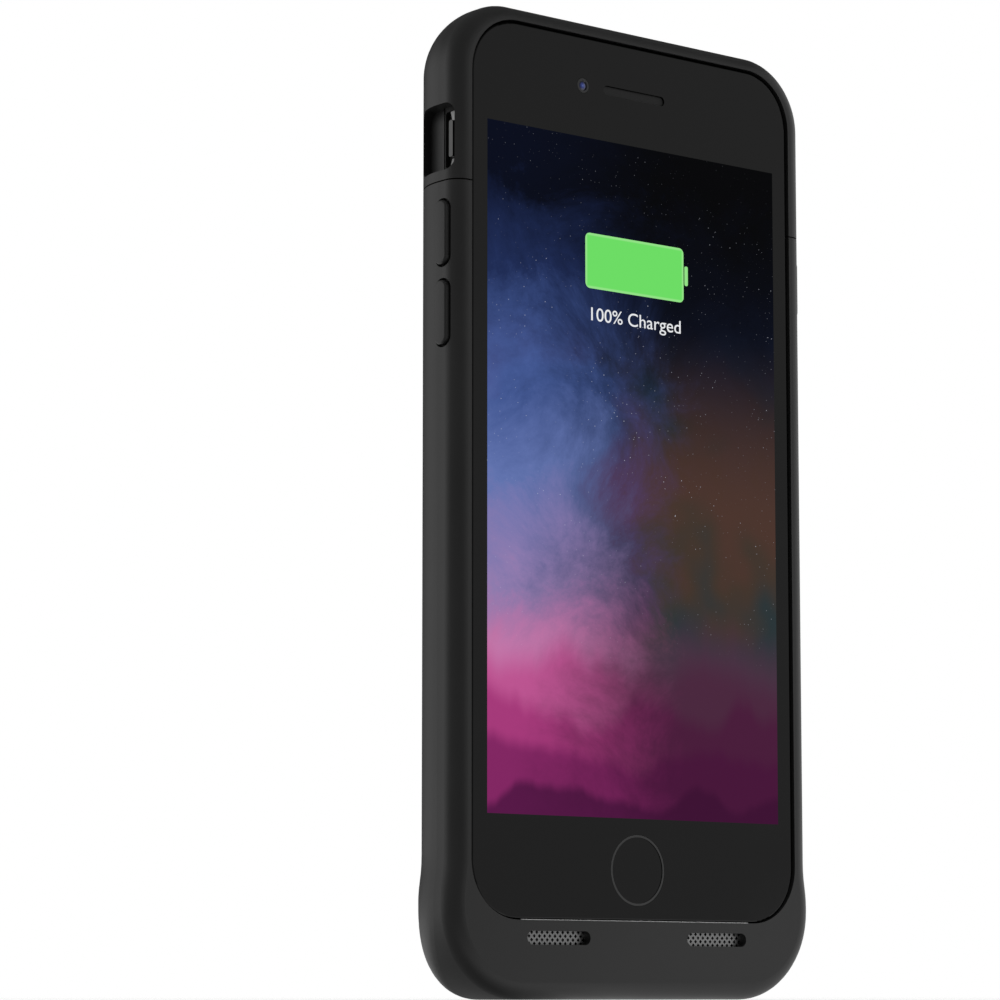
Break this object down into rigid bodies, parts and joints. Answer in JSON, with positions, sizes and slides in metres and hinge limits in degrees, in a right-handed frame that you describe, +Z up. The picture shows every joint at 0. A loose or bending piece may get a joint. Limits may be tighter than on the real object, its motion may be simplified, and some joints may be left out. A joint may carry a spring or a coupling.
{
  "type": "wireless charging phone case",
  "caption": "Slim battery case in soft-touch black with a slide-off top cap, chin with speaker slots, pressed side covers and camera bezel, holding a phone upright",
  "frame": {"origin": "middle of the flat foot that the case stands on, at the centre of the bounding box in X and Y", "axes": "+Z up the length, -Y out of the screen, +X to the right seen from the front"},
  "size_m": [0.0724, 0.0148, 0.1496],
  "materials": {
    "case_soft": "soft-touch matte coat",
    "case_bezel": "fine satin",
    "case_button": "soft-touch matte coat",
    "tray": "moulded matte",
    "cell_wrap": "laminate pouch",
    "ferrite": "matte",
    "copper": "enamelled wire",
    "magnet": "nickel",
    "board": "solder mask",
    "socket_steel": "satin steel",
    "plug": "satin",
    "switch": "matte",
    "lamp": "clear resin",
    "light_pipe": "smoked clear",
    "speaker_mesh": "dark perforated plate",
    "phone_shell": "matte black anodised",
    "phone_glass": "gloss black",
    "display": "gloss",
    "home_button": "gloss black",
    "earpiece": "fine mesh",
    "front_camera": "gloss",
    "camera_ring": "satin black",
    "camera_lens": "gloss",
    "flash": "clear over amber",
    "phone_key": "matte black anodised",
    "mute_lever": "matte black anodised"
  },
  "bodies": {
    "case": {"lower_housing": "case_soft", "phone_tray": "tray", "battery_cell": "cell_wrap", "ferrite_sheet": "ferrite", "charging_coil": "copper", "alignment_magnets": "magnet", "control_board": "board", "usb_socket": "socket_steel", "phone_plug": "plug", "status_switch": "switch", "led_lamps": "lamp", "light_pipes": "light_pipe", "speaker_mesh_left": "speaker_mesh", "speaker_mesh_right": "speaker_mesh", "phone_housing": "phone_shell", "phone_glass": "phone_glass", "phone_display": "display", "phone_home_button": "home_button", "phone_earpiece": "earpiece", "phone_front_camera": "front_camera", "phone_camera_ring": "camera_ring", "phone_camera_lens": "camera_lens", "phone_flash": "flash"},
    "cap": {"top_cap": "case_soft", "camera_bezel": "case_bezel"},
    "volume_up": {"volume_up_button": "case_button", "volume_up_key": "phone_key"},
    "volume_down": {"volume_down_button": "case_button", "volume_down_key": "phone_key"},
    "side": {"side_button": "case_button", "side_key": "phone_key"},
    "status": {"status_button": "case_button"},
    "mute": {"mute_switch": "mute_lever"}
  },
  "joints": [
    {"name": "cap_slide", "type": "slide", "parent": "case", "child": "cap", "axis": [0, 0, 1], "range_m": [0, 0.03]},
    {"name": "volume_up_press", "type": "slide", "parent": "case", "child": "volume_up", "axis": [1, 0, 0], "range_m": [0, 0.00035], "stiffness_N_per_m": 1500},
    {"name": "volume_down_press", "type": "slide", "parent": "case", "child": "volume_down", "axis": [1, 0, 0], "range_m": [0, 0.00035], "stiffness_N_per_m": 1500},
    {"name": "side_press", "type": "slide", "parent": "case", "child": "side", "axis": [-1, 0, 0], "range_m": [0, 0.00035], "stiffness_N_per_m": 1500},
    {"name": "status_press", "type": "slide", "parent": "case", "child": "status", "axis": [0, -1, 0], "range_m": [0, 0.0004], "stiffness_N_per_m": 1500},
    {"name": "mute_slide", "type": "slide", "parent": "case", "child": "mute", "axis": [0, 1, 0], "range_m": [0, 0.0014]}
  ]
}
